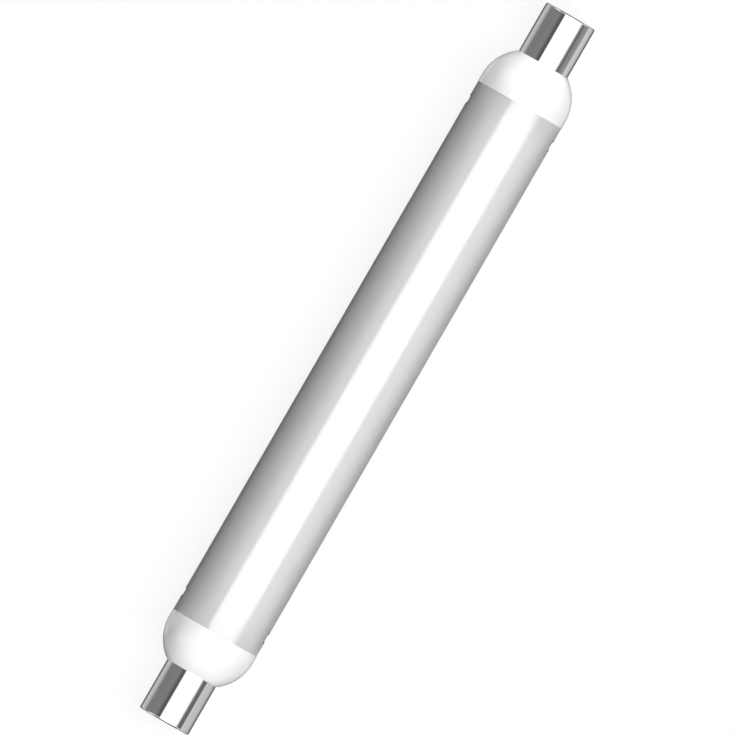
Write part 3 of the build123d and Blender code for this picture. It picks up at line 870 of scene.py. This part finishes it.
def build_floor(look):
    """White paper under the lamp: it keeps the lamp's shadow and is seen as nearly plain white."""
    mesh = bpy.data.meshes.new("floor")
    corners = ((-1, -1), (1, -1), (1, 1), (-1, 1))
    mesh.from_pydata(
        [(x * FLOOR_REACH, y * FLOOR_REACH, FLOOR_HEIGHT) for x, y in corners], [],
        [(0, 1, 2, 3)],
    )
    material, tree, surface = empty_material("floor_paper")
    white = tree.add("ShaderNodeEmission", {"Color": WHITE, "Strength": 1.0})
    paper = tree.add("ShaderNodeBsdfDiffuse", {"Color": rgba([look.floor] * 3)})
    away = tree.add(
        "ShaderNodeVectorMath", {0: tree.position()}, operation="LENGTH",
    ).outputs["Value"]
    lift = tree.remap(away, look.floor_lift, 1.0, *LIT_FLOOR, kind="SMOOTHSTEP")
    seen = tree.add("ShaderNodeMixShader", {0: lift, 1: paper.outputs[0], 2: white.outputs[0]})
    dimmer = tree.add("ShaderNodeBsdfDiffuse", {"Color": rgba([look.bounce] * 3)})
    mixed = tree.add("ShaderNodeMixShader", {
        0: background_ray(tree), 1: dimmer.outputs[0], 2: seen.outputs[0],
    })
    tree.link(mixed.outputs[0], surface)
    stage_object(mesh, material)


def build_world(look):
    """White behind everything, with a soft grey ambient light on dull surfaces."""
    world = bpy.data.worlds.new("studio")
    world.use_nodes = True
    tree = Tree(world.node_tree)
    background = world.node_tree.nodes["Background"]
    strength = tree.remap(background_ray(tree), look.ambient, 1.0)
    background.inputs["Color"].default_value = WHITE
    tree.link(strength, background.inputs["Strength"])
    bpy.context.scene.world = world


# The cards past the ends that light the domes: their foot and top, and their sides along Y
END_FILL_HEIGHTS = (0.045, 0.375)
END_FILL_SIDES = (-0.15, 0.45)


def build_lights(look):
    """A long soft box over the lamp, a card at its right side and a card past each end."""
    radius, half = look.tent, look.key_length / 2
    key = ((-14.0, 0.12), (0.0, look.key), (29.0, look.key), (49.0, 0.2))
    light_panel(round_sheet("key", key, radius, -half, half))
    fill = ((40.0, look.fill), (88.0, look.fill))
    light_panel(round_sheet("side_fill", fill, radius, -radius, radius))
    for name, x, tone in (
        ("right_fill", radius, look.right_fill), ("left_fill", -radius, look.left_fill),
    ):
        profile = [(height, tone) for height in END_FILL_HEIGHTS]
        light_panel(upright_sheet(name, profile, x, *END_FILL_SIDES))


# The pale flags past the ends: how near they stand as a share of the tent's radius, the tone of
# their foot and the height from which they have their full tone
FLAG_SHARE = 0.25
FLAG_FOOT = 0.30
FLAG_TURN = 0.15
# The small dark cards that draw the caps' rims: how far they stand from the ends, their foot and
# top, and their sides along Y
RIM_CARD_GAP = 0.003
RIM_CARD_HEIGHTS = (0.0062, 0.0115)
RIM_CARD_SIDES = (-0.0095, 0.0065)
# How much brighter the tube shows the soft box than the caps do
TUBE_BOX_SHARE = 1.2


def build_mirror_cards(look):
    """What the polished caps and the gloss of the plastic show: a soft box between grey walls,
    pale flags past the ends, and on the floor pale cards with a dark line under the lamp.

    The tube has a nearer tent of its own, and each cap, each dome and the tube have their own
    cards on the floor. A profile pairs places, in degrees or metres, with tones.
    """
    radius, box, line, wide_line = look.tent, look.soft_box, look.flag, look.tube_flag
    tube_end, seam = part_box("diffuser_tube")[1].x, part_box("cap_shell_right")[0].x
    tube_box = TUBE_BOX_SHARE * box
    left_wall = ((-90.0, 0.28), (-48.0, 0.30), (-26.0, 0.10), (-13.0, box))
    mirror_card(round_sheet("left_cap_tent", left_wall + (
        (39.0, box), (66.0, 0.19), (80.0, 0.22), (84.0, 0.85), (90.0, 0.95),
    ), radius, -radius, 0.0))
    mirror_card(round_sheet("right_cap_tent", left_wall + (
        (41.0, box), (66.0, 0.19), (80.0, 0.33), (85.0, 0.42), (90.0, 0.26),
    ), radius, 0.0, radius))
    mirror_card(round_sheet("tube_tent", (
        (-90.0, 0.15), (-70.0, 0.25), (-54.0, 0.60), (-38.0, 1.15), (-26.0, 1.05),
        (-15.0, tube_box), (48.0, tube_box), (60.0, 1.50), (75.0, 1.80), (90.0, 1.80),
    ), look.tube_tent, -tube_end, tube_end))
    for end, side, tone in (("right", 1, 2.0), ("left", -1, 1.8)):
        profile = ((FLOOR_HEIGHT, FLAG_FOOT), (FLAG_TURN, tone), (radius, tone))
        x = side * FLAG_SHARE * radius
        mirror_card(upright_sheet(f"{end}_flag", profile, x, -radius, radius))
        profile = [(height, look.rim_line) for height in RIM_CARD_HEIGHTS]
        x = side * (CAD_BOX[1].x + RIM_CARD_GAP)
        mirror_card(upright_sheet(f"{end}_rim_line", profile, x, *RIM_CARD_SIDES))
    cap_left_side = (
        (line, 0.50), (0.024, 0.95), (0.045, 0.70), (0.08, 0.45), (0.18, 0.24), (radius, 0.28),
    )
    dome_left_side = (
        (line, 0.90), (0.024, 1.70), (0.07, 1.70), (0.14, 0.40), (0.18, 0.24), (radius, 0.28),
    )
    dome_right_side = (
        (-line, 0.60), (-0.024, 1.50), (-0.07, 1.70), (-0.14, 1.10), (-radius, 1.00),
    )
    for place, low_x, high_x, half_line, line_tone, left_side, right_side in (
        ("left_cap", -radius, -seam, line, look.cap_line, cap_left_side, (
            (-line, 0.45), (-0.024, 0.80), (-0.06, 0.85), (-0.14, 0.80), (-radius, 0.95),
        )),
        ("left_dome", -seam, -tube_end, line, look.dome_line, dome_left_side, dome_right_side),
        ("tube", -tube_end, tube_end, wide_line, look.tube_line, (
            (wide_line, 0.05), (0.034, 0.45), (0.045, 0.25), (0.13, 0.12), (radius, 0.15),
        ), (
            (-wide_line, 0.05), (-0.030, 0.50), (-0.06, 1.10), (-0.20, 1.70), (-radius, 1.70),
        )),
        ("right_dome", tube_end, seam, line, look.dome_line, dome_left_side, dome_right_side),
        ("right_cap", seam, radius, line, look.cap_line, cap_left_side, (
            (-line, 0.50), (-0.024, 0.90), (-0.06, 0.95), (-0.14, 0.42), (-radius, 0.26),
        )),
    ):
        # The middle card is a dark sheet under the piece: a painted shade for the shadow under the
        # lamp, as reflections show it
        middle = ((-half_line, line_tone), (half_line, line_tone))
        for side, profile in (("left", left_side), ("middle", middle), ("right", right_side)):
            mirror_card(floor_sheet(f"{place}_floor_{side}", profile, low_x, high_x))


# The picture in pixels: its side, the lamp's length in it and where the lamp's middle is
PICTURE_SIDE = 735
PICTURE_LENGTH = 814.1
PICTURE_CENTRE = (367.32, 368.73)
# The camera's sensor, in millimetres as the lens is
SENSOR_WIDTH = 36.0


def build_camera(look):
    """A long lens straight over the lamp, turned so that its right end is at the top right."""
    data = bpy.data.cameras.new("camera")
    data.type = "PERSP"
    data.lens = look.lens
    data.sensor_width = SENSOR_WIDTH
    camera = bpy.data.objects.new("camera", data)
    bpy.context.scene.collection.objects.link(camera)
    pixel = (CAD_BOX[1].x - CAD_BOX[0].x) / PICTURE_LENGTH
    distance = PICTURE_SIDE * pixel * look.lens / SENSOR_WIDTH
    turn = Matrix.Rotation(look.turn - math.radians(90.0), 4, "Z")
    middle = PICTURE_SIDE / 2
    offset = Vector((middle - PICTURE_CENTRE[0], PICTURE_CENTRE[1] - middle, 0.0)) * pixel
    place = LAMP_CENTRE + turn @ offset + Vector((0.0, 0.0, distance))
    camera.matrix_world = Matrix.Translation(place) @ turn
    data.clip_start, data.clip_end = 0.1, 3 * distance
    bpy.context.scene.camera = camera


class LAMP_OT_studio(Operator):
    """Lay the white floor, hang the panels of light and set up the camera"""

    bl_idname = "lamp.studio"
    bl_label = "Studio"

    def execute(self, context):
        look = context.scene.lamp_studio
        build_floor(look)
        build_world(look)
        build_lights(look)
        build_mirror_cards(look)
        build_camera(look)
        context.scene.view_settings.view_transform = "Standard"
        return {"FINISHED"}


class LAMP_PT_sidebar(Panel):
    """Buttons of the lamp, in the order in which they are used."""

    bl_label = "Lamp"
    bl_idname = "LAMP_PT_sidebar"
    bl_space_type = "VIEW_3D"
    bl_region_type = "UI"
    bl_category = "Lamp"

    def draw(self, context):
        for operator in OPERATORS:
            self.layout.operator(operator.bl_idname)


SETTINGS = {
    "lamp_tube": TubeSettings,
    "lamp_domes": DomeSettings,
    "lamp_caps": CapSettings,
    "lamp_light_board": LightBoardSettings,
    "lamp_driver": DriverSettings,
    "lamp_studio": StudioSettings,
}
OPERATORS = (
    LAMP_OT_tube,
    LAMP_OT_domes,
    LAMP_OT_caps,
    LAMP_OT_light_board,
    LAMP_OT_driver,
    LAMP_OT_studio,
)


def register():
    """Add the settings, the operators and the sidebar to Blender."""
    for name, group in SETTINGS.items():
        bpy.utils.register_class(group)
        setattr(bpy.types.Scene, name, PointerProperty(type=group))
    for operator in OPERATORS:
        bpy.utils.register_class(operator)
    bpy.utils.register_class(LAMP_PT_sidebar)


def unregister():
    """Take them out again."""
    bpy.utils.unregister_class(LAMP_PT_sidebar)
    for operator in reversed(OPERATORS):
        bpy.utils.unregister_class(operator)
    for name, group in reversed(SETTINGS.items()):
        delattr(bpy.types.Scene, name)
        bpy.utils.unregister_class(group)


def main():
    """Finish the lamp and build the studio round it."""
    register()
    bpy.ops.lamp.tube()
    bpy.ops.lamp.domes()
    bpy.ops.lamp.caps()
    bpy.ops.lamp.light_board()
    bpy.ops.lamp.driver()
    bpy.ops.lamp.studio()


if __name__ == "__main__":
    main()
